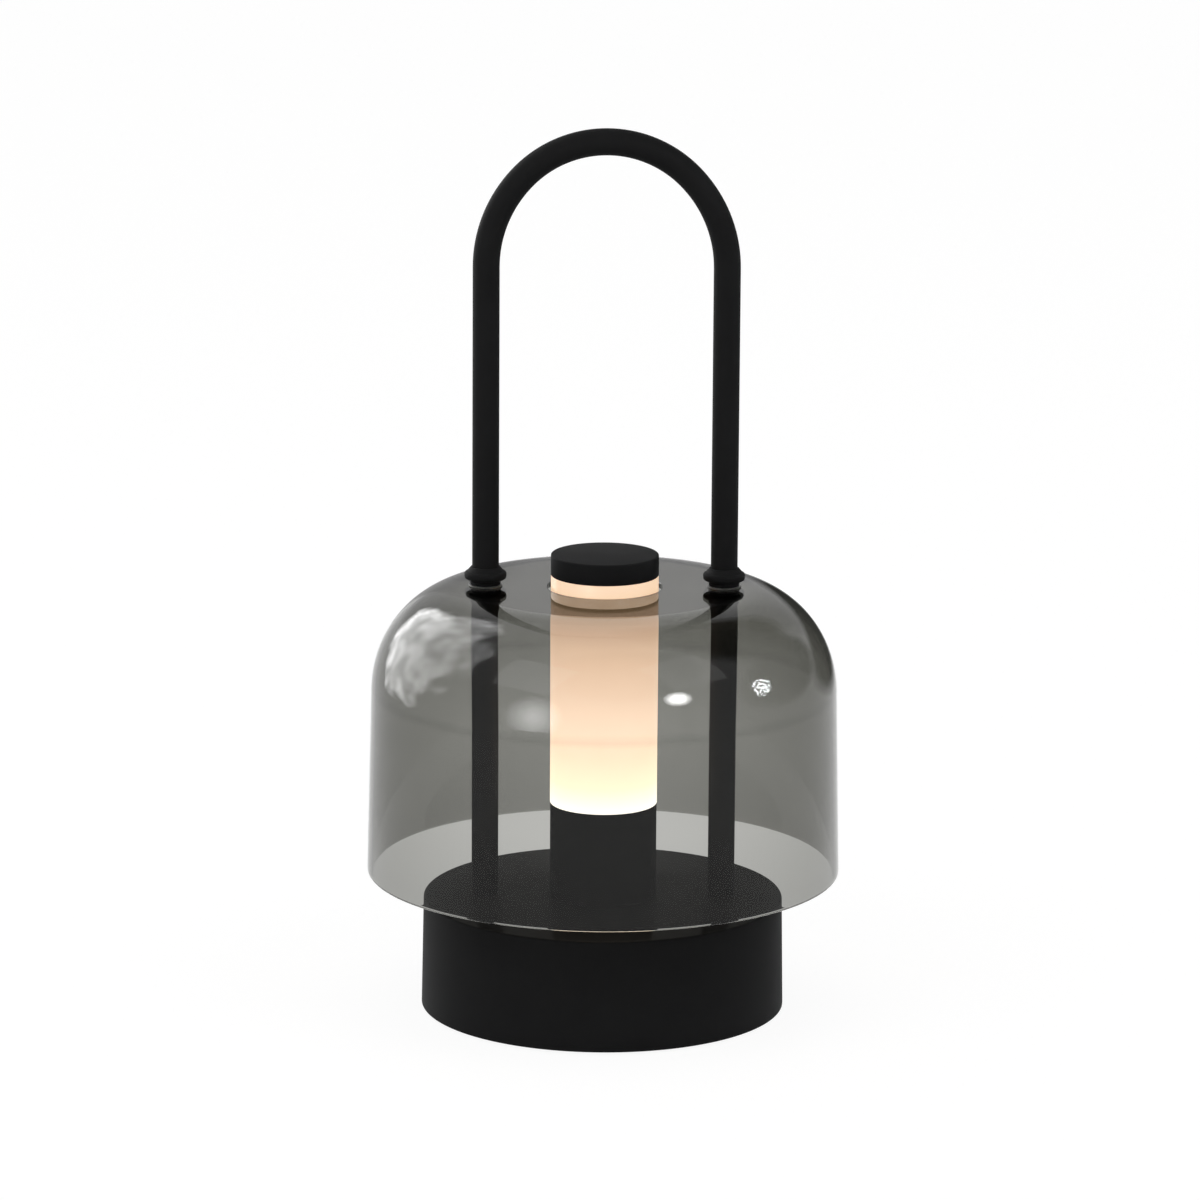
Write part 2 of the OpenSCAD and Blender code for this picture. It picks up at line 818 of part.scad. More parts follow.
module button_cap() {
    height = button_face_y - button_back_y;
    color("#2b2c2e")
    translate([port_x, button_back_y, port_z])
        rotate([-90, 0, 0])
            rotate_extrude()
                polygon(concat(
                    [[0, 0], [button_flange_r, 0], [button_flange_r, button_flange_t]],
                    [[button_r, button_flange_t]],
                    arc_points([button_r - button_edge, height - button_edge],
                               button_edge, button_edge, 0, 90, 4),
                    [[0, height]]));
}

module button_plunger() {
    color("#d5d3cc")
    translate([port_x, board_back_y - plunger_in, port_z])
        rotate([-90, 0, 0])
            cylinder(r = plunger_r, h = button_back_y - board_back_y + plunger_in);
}

module switch_body() {
    color("#26272a")
    difference() {
        translate([port_x - switch_w / 2, board_back_y - switch_d, board_z])
            cube([switch_w, switch_d, switch_h]);
        translate([port_x, board_back_y - plunger_in - button_travel - free_gap, port_z])
            rotate([-90, 0, 0])
                cylinder(r = plunger_r + slide_gap, h = plunger_in + button_travel + 2 * cut);
    }
}

// ---------- battery ----------

module battery_cells() {
    color("#3f6fa5")
    for (y = cell_y)
        translate([-cell_len / 2, y, cell_z])
            rotate([0, 90, 0])
                cylinder(r = cell_r, h = cell_len);
}

module battery_cradle() {
    depth = cradle_wall + cell_r;
    color("#1c1d20")
    difference() {
        translate([-cradle_len / 2, cradle_y - cradle_wide / 2, cradle_z])
            cube([cradle_len, cradle_wide, depth]);
        for (y = cell_y)
            translate([cradle_wall - cradle_len / 2, y, cell_z])
                rotate([0, 90, 0])
                    cylinder(r = cell_r + fit_gap, h = cradle_len - 2 * cradle_wall);
        tab_plates(fit_gap);
    }
}

// A thin plate across the cells' ends on each side, grown all round by a gap
module tab_plates(gap) {
    for (side = [-1, 1])
        translate([side * (cell_len + tab_t) / 2 - tab_t / 2, cell_y[1] - tab_h / 2 - gap,
                   cell_z - tab_h / 2 - gap])
            cube([tab_t, cell_pitch + tab_h + 2 * gap, tab_h + 2 * gap]);
}

// Spring tabs that join the cells' ends
module cell_tabs() {
    color("#cfd2d4")
    tab_plates(0);
}

// ---------- control board ----------

module control_board() {
    color("#245a3b")
    translate([0, 0, board_z - board_t])
        difference() {
            union() {
                translate([-board_w / 2, board_front_y, 0])
                    cube([board_w, board_d, board_t]);
                translate([-port_x - board_tab_w / 2, board_back_y - cut, 0])
                    cube([board_tab_w, board_tab_y - board_back_y + cut, board_t]);
            }
            for (x = [-standoff_x, standoff_x], y = standoff_y)
                translate([x, y, -cut])
                    cylinder(r = screw_r + fit_gap, h = board_t + 2 * cut);
        }
}

// A control chip, a capacitor and a coil
module board_parts() {
    color("#2f3033")
    translate([0, board_front_y, board_z]) {
        translate([-chip_side, board_d * 0.6, 0])
            cube([chip_side, chip_side, chip_side / 6]);
        translate([-board_w * 0.3, board_d / 2, 0])
            cylinder(r = capacitor_r, h = 2 * capacitor_r);
        translate([board_w * 0.1, board_d * 0.4, 0])
            cylinder(r = coil_r, h = coil_r);
    }
}

module lead_sockets() {
    color("#e8e4d8")
    for (side = [-1, 1])
        translate([side * socket_x - socket_size[0] / 2, board_front_y, board_z])
            cube(socket_size);
}

module board_standoffs() {
    color("#b59a4c")
    for (x = [-standoff_x, standoff_x], y = standoff_y)
        translate([x, y, floor_z])
            difference() {
                cylinder(r = standoff_r, h = standoff_h, $fn = 6);
                translate([0, 0, standoff_h - thread_len - fit_gap])
                    cylinder(r = screw_r + fit_gap / 2, h = thread_len + fit_gap + cut);
            }
}

module board_screws() {
    color(steel)
    for (x = [-standoff_x, standoff_x], y = standoff_y)
        translate([x, y, board_z]) {
            cylinder(r = screw_head_r, h = screw_head_h);
            translate([0, 0, -board_t - thread_len])
                cylinder(r = screw_r, h = board_t + thread_len + cut);
        }
}

// ---------- leads inside the lamp ----------

// From the board to the light board, through the grommet and up the column
module light_lead() {
    start = [-socket_x, board_front_y, socket_pin_z];
    stub = start - [0, lead_stub, 0];
    turn = [0, 0, ceiling_z - grommet_lip - 2 * lead_stub];
    color("#e9e9e6")
    lead(concat([start], bezier(stub, stub - [0, lead_bow, 0],
                                    turn - [0, 0, lead_bow - lead_stub], turn, 9),
                [[0, 0, base_z + lead_straight], [0, 0, carrier_z]]),
         light_lead_r, [1, 0, 0]);
}

// From the end of the battery cradle to the board
module battery_lead() {
    start = [cradle_len / 2, cell_y[0], cell_z - cell_lead_drop];
    finish = [socket_x, board_front_y, socket_pin_z];
    stub = start + [lead_stub, 0, 0];
    end_stub = finish - [0, lead_stub, 0];
    color("#c0392b")
    lead(concat([start], bezier(stub, stub + [lead_bow + 2 * lead_stub, 0, 0],
                                end_stub - [0, lead_bow, 0], end_stub, 12), [finish]),
         battery_lead_r, [0, 0, 1]);
}

base_shell();
bottom_plate();
plate_screws();
rubber_feet();
ballast_plate();
ballast_screws();
handle_tube();
leg_plugs();
leg_washers();
leg_nuts();
upper_collars();
lower_collars();
upper_washers();
lower_washers();
collar_screws();
glass_shade();
column();
column_screws();
light_carrier();
light_board();
light_chips();
locating_ring();
diffuser();
cap();
cap_ring();
reflector_disc();
grommet();
port_panel();
inlet_shell();
inlet_tongue();
button_cap();
button_plunger();
switch_body();
battery_cells();
battery_cradle();
cell_tabs();
control_board();
board_parts();
lead_sockets();
board_standoffs();
board_screws();
light_lead();
battery_lead();
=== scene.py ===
# %% [markdown]
# # A lantern table lamp
# A black drum base carries a lit tube, and a U-shaped tube handle holds a bell of smoked
# glass over it. The solids come from the packed CAD model, in metres, with +Z up. This
# notebook dresses them: it turns and sweeps smooth, detailed pieces for what the eye sees,
# gives every piece a finish made from nodes, and sets a pale studio round the lamp.

# %% Load the packed solids
import math

import bmesh
import bpy
from mathutils import Matrix, Vector


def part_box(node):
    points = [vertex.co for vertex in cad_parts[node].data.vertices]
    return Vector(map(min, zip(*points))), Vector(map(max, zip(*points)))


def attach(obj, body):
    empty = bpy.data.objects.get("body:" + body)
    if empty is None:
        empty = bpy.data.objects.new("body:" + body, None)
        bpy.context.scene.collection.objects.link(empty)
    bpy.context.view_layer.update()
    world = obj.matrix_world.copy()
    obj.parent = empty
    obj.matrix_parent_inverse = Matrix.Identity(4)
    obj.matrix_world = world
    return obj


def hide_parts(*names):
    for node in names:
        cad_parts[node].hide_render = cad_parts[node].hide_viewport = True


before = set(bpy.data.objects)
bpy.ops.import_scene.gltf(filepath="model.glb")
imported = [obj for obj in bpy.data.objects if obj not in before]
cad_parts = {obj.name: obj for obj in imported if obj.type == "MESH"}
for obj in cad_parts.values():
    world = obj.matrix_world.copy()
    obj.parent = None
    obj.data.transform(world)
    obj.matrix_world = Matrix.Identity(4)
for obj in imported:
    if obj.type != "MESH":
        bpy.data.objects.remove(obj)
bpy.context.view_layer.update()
MM = 0.001

# %% [markdown]
# ## The camera
# A product photograph is taken from far away with a long lens, so that upright lines stay
# almost parallel. Here the camera stands almost three metres off and looks down by 13
# degrees. It could be aimed with a constraint, but three axes worked out one by one also
# take the small roll of the photograph, and they stay readable.

# %% Camera
AIM = Vector((-0.00208, 0.0, 0.18766))
PITCH = math.radians(13.0)
ROLL = math.radians(0.36)
DISTANCE = 2.9445
FOCAL_LENGTH = 197.2                                       # millimetres

ahead = Vector((0, math.cos(PITCH), -math.sin(PITCH)))
over = Vector((0, math.sin(PITCH), math.cos(PITCH)))
across = Vector((1, 0, 0))
axis_x = across * math.cos(ROLL) + over * math.sin(ROLL)
axis_y = over * math.cos(ROLL) - across * math.sin(ROLL)

lens = bpy.data.cameras.new("long_lens")
lens.lens, lens.sensor_width, lens.clip_end = FOCAL_LENGTH, 36, 60
camera = bpy.data.objects.new("camera", lens)
bpy.context.scene.collection.objects.link(camera)
turn = Matrix((axis_x, axis_y, -ahead)).transposed().to_4x4()
camera.matrix_world = Matrix.Translation(AIM - ahead * DISTANCE) @ turn
bpy.context.scene.camera = camera
print("camera at", [round(v, 3) for v in camera.matrix_world.translation])

# %% [markdown]
# ## Sums on sockets
# A finish is a small sum: a colour times a mask, plus a second colour. Typed as nodes it is
# long and hard to read. The Wire class wraps one output of a node, so that a sum is typed as
# a sum and the nodes add themselves. Plain values use Math nodes, vectors use Vector Math,
# and colours use Mix, because a Math node would turn a colour grey. Every other node comes
# from one method of Graph, the class that stands for a node tree.

# %% A graph adds nodes
class Graph:
    """A node tree, with the one method that adds a node to it."""

    def __init__(self, tree):
        self.tree = tree

    def plug(self, value, socket):
        """Puts a wire, a number, a vector or a colour into a socket."""
        number = isinstance(value, (int, float))
        if isinstance(value, Wire):
            self.tree.links.new(value.socket, socket)
        elif socket.type == "RGBA":
            socket.default_value = (value, value, value, 1) if number else (*value, 1)
        elif socket.type == "VECTOR" and number:
            socket.default_value = (value, value, value)
        else:
            socket.default_value = value

    def node(self, kind, settings=None, sockets=None, out=0):
        """Adds a node of that kind: its settings first, then its sockets. Gives one output."""
        node = self.tree.nodes.new(kind)
        for name, value in (settings or {}).items():
            if name == "stops":
                ramp = node.color_ramp.elements
                while len(ramp) < len(value):
                    ramp.new(1)
                for stop, (place, colour) in zip(ramp, value):
                    stop.position, stop.color = place, (*colour, 1)
            else:
                setattr(node, name, value)
        for name, value in (sockets or {}).items():
            self.plug(value, node.inputs[name])
        return Wire(self, node.outputs[out])

    def end_in(self, value, name="Surface"):
        """Links a shader to the tree's output."""
        output = next(node for node in self.tree.nodes if node.type.startswith("OUTPUT"))
        self.plug(value, output.inputs[name])


# %% A wire carries one output of a node
class Wire:
    """One output of a node, which Python's operators can work on."""

    def __init__(self, graph, socket):
        self.graph, self.socket = graph, socket

    def combine(self, operation, left, right):
        kinds = {wire.socket.type for wire in (left, right) if isinstance(wire, Wire)}
        if "RGBA" in kinds:
            return self.graph.node("ShaderNodeMix", {"data_type": "RGBA", "blend_type": operation},
                                   {0: 1, 6: left, 7: right}, out=2)
        kind = "ShaderNodeVectorMath" if "VECTOR" in kinds else "ShaderNodeMath"
        return self.graph.node(kind, {"operation": operation}, {0: left, 1: right})

    def __add__(self, other):
        return self.combine("ADD", self, other)

    def __radd__(self, other):
        return self.combine("ADD", other, self)

    def __sub__(self, other):
        return self.combine("SUBTRACT", self, other)

    def __rsub__(self, other):
        return self.combine("SUBTRACT", other, self)

    def __mul__(self, other):
        return self.combine("MULTIPLY", self, other)

    def __rmul__(self, other):
        return self.combine("MULTIPLY", other, self)


# %% A finish holds one shader
class Finish(Graph):
    """A material with one Principled shader, and the few textures that all finishes share."""

    def __init__(self, name, sockets):
        self.material = bpy.data.materials.new(name)
        self.material.use_nodes = True
        super().__init__(self.material.node_tree)
        self.shader = self.tree.nodes["Principled BSDF"]
        self.set(sockets)

    def set(self, sockets):
        for name, value in sockets.items():
            self.plug(value, self.shader.inputs[name])

    def place(self):
        """Where a point lies on the lamp, in metres."""
        return self.node("ShaderNodeTexCoord", out="Object")

    def height(self):
        return self.node("ShaderNodeSeparateXYZ", None, {0: self.place()}, out="Z")

    def length(self, vector):
        return self.node("ShaderNodeVectorMath", {"operation": "LENGTH"}, {0: vector}, out="Value")

    def noise(self, scale, detail=3, stretch=None):
        """A cloud of values round 0.5. Scale is how many blots stand on a metre."""
        where = self.place() * stretch if stretch else self.place()
        return self.node("ShaderNodeTexNoise", None,
                         {"Vector": where, "Scale": scale, "Detail": detail, "Roughness": 0.55})

    def ramp(self, value, low, high, start=0.0, end=1.0):
        """Goes from start to end while value goes from low to high, and stays there."""
        return self.node("ShaderNodeMapRange", None,
                         {"Value": value, "From Min": low, "From Max": high,
                          "To Min": start, "To Max": end})

    def blend(self, mask, one, two):
        return self.node("ShaderNodeMix", {"data_type": "RGBA"}, {0: mask, 6: one, 7: two}, out=2)

    def relief(self, height, distance, strength=1.0):
        """Turns a height from 0 to 1 into bumps that are distance metres deep."""
        bumps = {"Height": height, "Distance": distance, "Strength": strength}
        self.set({"Normal": self.node("ShaderNodeBump", None, bumps)})


FINISHES = {}
print("a finish offers:", [name for name in vars(Finish) if name[0] != "_"])

# %% [markdown]
# ## The black coat
# Every outer metal piece is powder coated: black powder is baked on, and it cures to a
# fine, even orange peel with a dull sheen. A flat black would look like a hole. So the
# colour stays almost even, a fine noise makes the peel as bumps, a wider noise lets the
# sheen wander, and the outer edges of the turned pieces are painted a little lighter, as a
# painted sheen. Those edges come from the Geometry node's Pointiness, which needs no painted
# mask. Only the top of the drum is often wiped, and has grown glossier. A thin clear coat
# does that, and two ramps on the height keep it to that one level of the lamp.

# %% Black powder coat
PEEL_DEPTH = 0.00001                                       # metres


def powder_coat(slot, colour, edge_sheen_colour, rough, sheen):
    """A black, the lighter black painted on its edges as a sheen, how dull it is, and how much
    light it mirrors.
    """
    coat = Finish(slot, {"Specular IOR Level": sheen, "IOR": 1.5})
    peel = coat.noise(1300, detail=1)
    drift = coat.noise(38, detail=4)
    specks = coat.ramp(coat.noise(5200, detail=1), 0.62, 0.74)
    edge = coat.ramp(coat.node("ShaderNodeNewGeometry", out="Pointiness"), 0.53, 0.62, 0, 0.8)
    shade = coat.blend(coat.ramp(drift, 0.3, 0.7), colour, [c * 1.25 for c in colour])
    shade = coat.blend(specks * 0.35, shade, [c * 2.2 for c in colour])
    # The outer edges are painted lighter: a painted sheen, which the drift makes uneven.
    painted_edge_sheen = edge * coat.ramp(drift, 0.35, 0.6, 0.5, 1)
    dull = coat.ramp(drift, 0.25, 0.75, rough - 0.04, rough + 0.05)
    coat.set({"Base Color": coat.blend(painted_edge_sheen, shade, edge_sheen_colour), "Roughness": dull - edge * 0.08})
    coat.relief(peel, PEEL_DEPTH, 0.2)
    FINISHES[slot] = coat.material
    return coat


DRUM_TOP = 0.0516                                          # metres over the table
black = powder_coat("black_coat", (0.0115, 0.0116, 0.0119), (0.0155, 0.0157, 0.0161), 0.62, 0.03)
from_below = black.ramp(black.height(), DRUM_TOP - 0.0005, DRUM_TOP - 0.0001)
from_above = black.ramp(black.height(), DRUM_TOP + 0.0002, DRUM_TOP + 0.0001)
uneven = black.ramp(black.noise(25), 0.3, 0.7, 0.08, 0.14)
black.set({"Coat Weight": from_below * from_above * uneven, "Coat Roughness": 0.05})
powder_coat("plate_coat", (0.012, 0.012, 0.013), (0.03, 0.03, 0.031), 0.55, 0.3)
print("coats:", sorted(FINISHES))

# %% [markdown]
# ## The smoked glass
# The shade is soda glass with a grey tint in the melt, about 2.5 mm thick. One layer lets
# a little under half of the light through, and two layers a fifth. Nearly all of that tint
# is absorption in the body, so that the glass is darker where the eye looks along it. The
# surface colour adds what the body can't: the pressed flat top is darker, the drilled hole
# has a ground edge, a faint darker line is tinted where the shoulder starts, and the foot
# of the wall is painted a touch darker, a painted shade for the shadowed floor seen through it.
# Blown glass is never quite even, so a wide, shallow noise bends the reflections a little.

# %% Smoked glass
FLAT_EDGE, FLAT_FLOOR = 0.061, 0.193                       # radius and height of the flat top
DRILL_EDGE, SHOULDER_LINE_AT = 0.0261, 0.1475                       # radius of the hole, height of the shoulder line
DARK_TO, CLEAR_FROM = 0.07, 0.105                          # heights on the foot of the wall
WALL_TINT, FOOT_SHADE_TINT = (1.0, 1.0, 0.99), (0.89, 0.89, 0.885)
SMOKE, DENSITY = (0.5, 0.5, 0.475), 590.0                  # colour and strength, for one metre

glass = Finish("smoked_glass", {"Transmission Weight": 1.0, "IOR": 1.3, "Roughness": 0.0})
radius = glass.length(glass.place() * (1, 1, 0))
height = glass.height()
flat = (glass.ramp(radius, FLAT_EDGE + 0.0005, FLAT_EDGE - 0.0005)
        * glass.ramp(height, FLAT_FLOOR - 0.0002, FLAT_FLOOR + 0.0002))
drilled = glass.ramp(radius, DRILL_EDGE + 0.0002, DRILL_EDGE - 0.0002)
# A faint darker line is tinted where the shoulder starts.
shoulder_line = (glass.ramp(height, SHOULDER_LINE_AT - 0.003, SHOULDER_LINE_AT)
        * glass.ramp(height, SHOULDER_LINE_AT + 0.004, SHOULDER_LINE_AT))
# The foot of the wall is tinted darker: a painted shade for the shadowed floor seen through the
# glass.
tint = glass.blend(glass.ramp(height, DARK_TO, CLEAR_FROM), FOOT_SHADE_TINT, WALL_TINT)
tint = glass.blend(flat, tint, (0.295, 0.285, 0.262))
tint = glass.blend(shoulder_line * 0.2, tint, (0.5, 0.5, 0.49))
glass.set({"Base Color": glass.blend(drilled, tint, (0.42, 0.4, 0.37))})
glass.relief(glass.noise(16, detail=1), 0.0005, 0.3)
glass.end_in(glass.node("ShaderNodeVolumeAbsorption", None, {"Color": SMOKE, "Density": DENSITY}),
             "Volume")
FINISHES["smoked_glass"] = glass.material
print("share of light through one wall:", round(math.exp(-DENSITY * (1 - SMOKE[0]) * 0.0025), 2))

# %% [markdown]
# ## The lit tube
# Light chips sit in the foot of the opal tube and shine up into it. So the tube is nearly
# white at its foot and sinks to a warm amber at its top, where less light arrives. Its top
# stretch is darker still: a painted shadow of the cap's plug and the reflector disc. It
# could be a real light inside a scattering wall, but that is slow and grainy. A glowing
# surface, whose colour follows the height, gives the same look and also lights the rest.

# %% Opal tube
TUBE_FOOT, TUBE_TOP = 0.0946, 0.1994                       # metres over the table
opal = Finish("opal_diffuser", {"Base Color": (0.42, 0.4, 0.36), "Roughness": 0.35,
                                "Specular IOR Level": 0.3, "Emission Strength": 2.6})
level = opal.ramp(opal.height(), TUBE_FOOT, TUBE_TOP)
# The last two stops dim the tube's top: a painted shadow of the cap's plug and the reflector disc.
glow = opal.node("ShaderNodeValToRGB", {"stops": [
    (0.0, (1.0, 0.97, 0.9)), (0.07, (0.96, 0.86, 0.67)), (0.11, (0.95, 0.8, 0.57)),
    (0.242, (0.88, 0.66, 0.48)), (0.373, (0.82, 0.6, 0.45)), (0.504, (0.775, 0.55, 0.405)),
    (0.592, (0.79, 0.55, 0.4)), (0.722, (0.81, 0.552, 0.392)), (0.796, (0.76, 0.5, 0.355)),
    (0.862, (0.67, 0.45, 0.31)), (0.87, (0.33, 0.205, 0.11)), (0.98, (0.31, 0.21, 0.135))]},
    {"Fac": level})
cloud = opal.ramp(opal.noise(55, detail=4), 0.3, 0.7, 0.975, 1.0)
even = opal.node("ShaderNodeCombineColor", None, {0: cloud, 1: cloud, 2: cloud})
opal.set({"Emission Color": glow * even})
opal.relief(opal.noise(1900, detail=2), 0.00001, 0.3)
FINISHES["opal_diffuser"] = opal.material
print("the tube glows over", round(TUBE_TOP - TUBE_FOOT, 4), "m")

# %% [markdown]
# ## Bare metal
# Screws and nuts are zinc plated, the ballast is raw plate with mill scale, and the light
# carrier is turned aluminium. All are one recipe: full metal, a colour that drifts a
# little, a roughness that drifts more, and fine lines. Only the numbers differ, so a
# function takes them.

# %% Metals
def metal(slot, colour, dark, rough, lines, stretch=(1, 1, 14)):
    """Two colours, a roughness, and how fine the lines are. Stretch says where they run."""
    bare = Finish(slot, {"Metallic": 1.0})
    drift = bare.noise(60, detail=5)
    scratch = bare.noise(lines, detail=3, stretch=stretch)
    bare.set({"Base Color": bare.blend(bare.ramp(drift, 0.35, 0.7), colour, dark),
              "Roughness": bare.ramp(drift, 0.3, 0.7, rough - 0.06, rough + 0.1)
              + bare.ramp(scratch, 0.3, 0.7, -0.04, 0.04)})
    bare.relief(scratch, 0.000008, 0.4)
    FINISHES[slot] = bare.material


metal("steel", (0.6, 0.61, 0.62), (0.5, 0.51, 0.5), 0.3, 900)
metal("dark_steel", (0.075, 0.075, 0.08), (0.05, 0.05, 0.052), 0.38, 900)
metal("ballast_steel", (0.22, 0.23, 0.24), (0.14, 0.135, 0.13), 0.5, 300, stretch=(1, 9, 1))
metal("aluminium", (0.78, 0.79, 0.8), (0.68, 0.69, 0.7), 0.28, 1200)
metal("inlet_steel", (0.62, 0.63, 0.64), (0.52, 0.53, 0.54), 0.24, 1400, stretch=(1, 12, 1))
metal("nickel_tab", (0.66, 0.64, 0.58), (0.56, 0.54, 0.5), 0.3, 1000)
metal("brass", (0.72, 0.55, 0.24), (0.6, 0.44, 0.19), 0.3, 1100)
print("finishes so far:", len(FINISHES))

# %% [markdown]
# ## Rubber, plastic and board
# The other finishes aren't metal: rubber feet, moulded plastic, white board, wrapped cells
# and insulated leads. One recipe serves them too: two close colours that drift, a
# roughness that drifts, and a fine grain as the mould left it.

# %% Rubbers and plastics
def moulded(slot, colour, second, rough, grain, depth, drift=45, sockets=None):
    """Two colours, a roughness, the grain's fineness and its depth in metres."""
    body = Finish(slot, {"Specular IOR Level": 0.4, **(sockets or {})})
    cloud = body.noise(drift, detail=4)
    fine = body.noise(grain, detail=2)
    body.set({"Base Color": body.blend(body.ramp(cloud, 0.3, 0.7), colour, second),
              "Roughness": body.ramp(cloud, 0.25, 0.75, rough - 0.05, rough + 0.06)})
    body.relief(fine, depth, 0.5)
    FINISHES[slot] = body.material


moulded("black_rubber", (0.014, 0.014, 0.015), (0.022, 0.022, 0.022), 0.72, 2600, 0.00003)
moulded("clear_silicone", (0.34, 0.34, 0.32), (0.28, 0.28, 0.26), 0.3, 1800, 0.00001,
        sockets={"Transmission Weight": 0.8, "IOR": 1.41})
moulded("white_board", (0.86, 0.86, 0.82), (0.8, 0.8, 0.77), 0.45, 1500, 0.00001)
moulded("light_chip", (0.85, 0.7, 0.25), (0.9, 0.78, 0.36), 0.4, 1200, 0.00001,
        sockets={"Emission Color": (1.0, 0.82, 0.55), "Emission Strength": 2.0})
moulded("white_plastic", (0.78, 0.77, 0.72), (0.72, 0.71, 0.67), 0.42, 1400, 0.00001)
moulded("black_plastic", (0.012, 0.012, 0.0125), (0.018, 0.018, 0.0185), 0.5, 2200, 0.00003,
        sockets={"Specular IOR Level": 0.3})
moulded("button_plastic", (0.02, 0.0205, 0.022), (0.028, 0.0285, 0.03), 0.38, 2600, 0.00001)
moulded("cell_wrap", (0.05, 0.16, 0.38), (0.04, 0.13, 0.33), 0.32, 900, 0.00002)
moulded("green_board", (0.02, 0.13, 0.05), (0.016, 0.1, 0.04), 0.35, 700, 0.00003, drift=260)
moulded("white_lead", (0.78, 0.78, 0.76), (0.7, 0.7, 0.69), 0.42, 1600, 0.00002)
moulded("red_lead", (0.5, 0.035, 0.025), (0.42, 0.03, 0.02), 0.42, 1600, 0.00002)
print("finishes:", len(FINISHES))

# %% [markdown]
# ## Tools for turned and swept pieces
# Nearly every piece of this lamp comes off a lathe or a tube bender, so two tools make
# nearly all of the meshes. `turned` spins a profile of radius and height, and a corner of
# the profile may carry a small rounding, as every real edge does. `swept` runs a round
# tube along a path. A Screw modifier and a bevelled curve would do the same, but meshes
# made point by point keep their size exactly, which the CAD box asks for.

# %% Profiles with rounded corners
CORNER_STEPS = 4


def softened(profile):
    """Each profile point is (radius, height) or (radius, height, rounding), in millimetres."""
    points = []
    count = len(profile)
    for i, point in enumerate(profile):
        here = Vector(point[:2])
        rounding = point[2] if len(point) > 2 else 0
        if not rounding:
            points.append(here)
            continue
        before = (Vector(profile[i - 1][:2]) - here).normalized()
        after = (Vector(profile[(i + 1) % count][:2]) - here).normalized()
        half = before.angle(after) / 2
        reach = rounding / math.tan(half)
        centre = here + (before + after).normalized() * (rounding / math.sin(half))
        start, end = here + before * reach - centre, here + after * reach - centre
        for k in range(CORNER_STEPS + 1):
            points.append(centre + start.slerp(end, k / CORNER_STEPS).normalized() * rounding)
    return points


def finished(shape, name, slot, body="lamp", sharp=32):
    """Makes a piece of a shape: smooth but for its sharp edges, on its body, with its finish."""
    bmesh.ops.remove_doubles(shape, verts=shape.verts, dist=1e-7)
    bmesh.ops.recalc_face_normals(shape, faces=shape.faces)
    mesh = bpy.data.meshes.new(name)
    shape.to_mesh(mesh)
    shape.free()
    mesh.shade_smooth()
    mesh.set_sharp_from_angle(angle=math.radians(sharp))
    mesh.materials.append(FINISHES[slot])
    piece = bpy.data.objects.new(name, mesh)
    bpy.context.scene.collection.objects.link(piece)
    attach(piece, body)
    return piece


# %% The lathe
def spin(shape, profile, steps, where):
    """Adds a turned ring or disc to a shape. The profile is closed."""
    rings = []
    for r, z in profile:
        if r < 1e-4:
            rings.append([shape.verts.new(where @ Vector((0, 0, z * MM)))] * steps)
            continue
        angles = [2 * math.pi * k / steps for k in range(steps)]
        rings.append([shape.verts.new(where @ Vector((r * math.cos(a) * MM, r * math.sin(a) * MM,
                                                      z * MM))) for a in angles])
    for low, high in zip(rings, rings[1:] + rings[:1]):
        for k in range(steps):
            corners = list(dict.fromkeys((low[k], low[k - 1], high[k - 1], high[k])))
            if len(corners) > 2:
                shape.faces.new(corners)


def turned(name, slot, profile, steps, places=(Matrix.Identity(4),), **more):
    """One piece with a copy of the turned profile at each place."""
    shape = bmesh.new()
    for where in places:
        spin(shape, softened(profile), steps, where)
    return finished(shape, name, slot, **more)


# %% Cutting with a second shape
def cut_away(piece, cutter_shape, sharp=32):
    """Takes the cutter's shape out of a piece."""
    mesh = bpy.data.meshes.new("cutter")
    bmesh.ops.recalc_face_normals(cutter_shape, faces=cutter_shape.faces)
    cutter_shape.to_mesh(mesh)
    cutter_shape.free()
    cutter = bpy.data.objects.new("cutter", mesh)
    bpy.context.scene.collection.objects.link(cutter)
    step = piece.modifiers.new("cut", "BOOLEAN")
    step.operation, step.solver, step.object = "DIFFERENCE", "EXACT", cutter
    bpy.context.view_layer.update()
    graph = bpy.context.evaluated_depsgraph_get()
    result = bpy.data.meshes.new_from_object(piece.evaluated_get(graph))
    piece.modifiers.clear()
    piece.data = result
    result.shade_smooth()
    result.set_sharp_from_angle(angle=math.radians(sharp))
    bpy.data.objects.remove(cutter)
    return piece

# %% [markdown]
# ## The drum base
# The base is a deep-drawn steel cup with a tight rounded top edge and a wall that widens by
# a millimetre towards the table. A cylinder with a Bevel modifier would be close, but the
# profile gives the draft, the edge and the folded lower lip exactly. The window for the
# panel at the back is cut with a Boolean, as the press tool does it.

# %% Base
BASE_R, DRAFT, BASE_Z, EDGE_Z, WALL_T, TOP_T = 81.0, 0.9, 51.6, 1.1, 2.0, 3.0
PORT_Z, PORT_SIDE, PORT_R, PORT_STEPS = 24.0, 14.5, 7.8, 24
CUT_FROM, CUT_TO = 70.0, 90.0

